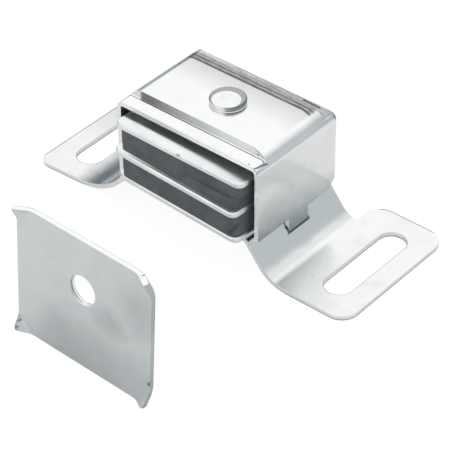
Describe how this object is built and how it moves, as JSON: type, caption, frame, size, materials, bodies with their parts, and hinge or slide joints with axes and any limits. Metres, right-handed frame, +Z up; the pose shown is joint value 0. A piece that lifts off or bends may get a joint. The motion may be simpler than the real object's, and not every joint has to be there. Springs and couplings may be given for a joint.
{
  "type": "magnetic cabinet catch",
  "caption": "Magnetic cabinet catch: folded base with slotted feet, strap housing over a riveted floating magnet pack, and a separate strike plate.",
  "frame": {"origin": "on the mounting surface under the feet, straight below the middle of the housing", "axes": "+X along the base towards the right foot, +Y towards the back, +Z up from the mounting surface"},
  "size_m": [0.0762, 0.0708, 0.0272],
  "materials": {
    "base_steel": "satin zinc",
    "housing_steel": "bright zinc",
    "rivet_steel": "bright zinc",
    "pole_steel": "satin nickel",
    "magnet": "matt",
    "strike_steel": "satin zinc"
  },
  "bodies": {
    "frame": {"base_plate": "base_steel", "housing": "housing_steel", "rivet": "rivet_steel", "strike_plate": "strike_steel"},
    "magnet_pack": {"pole_plate_top": "pole_steel", "magnet_slab_1": "magnet", "magnet_slab_2": "magnet", "pole_plate_middle": "pole_steel", "magnet_slab_3": "magnet", "magnet_slab_4": "magnet", "pole_plate_bottom": "pole_steel"}
  },
  "joints": [
    {"name": "pack_turn", "type": "hinge", "parent": "frame", "child": "magnet_pack", "pos_m": [0.00095, -0.00055, 0.0146], "axis": [0, 0, 1], "range_deg": [-0.5, 3.4]}
  ]
}
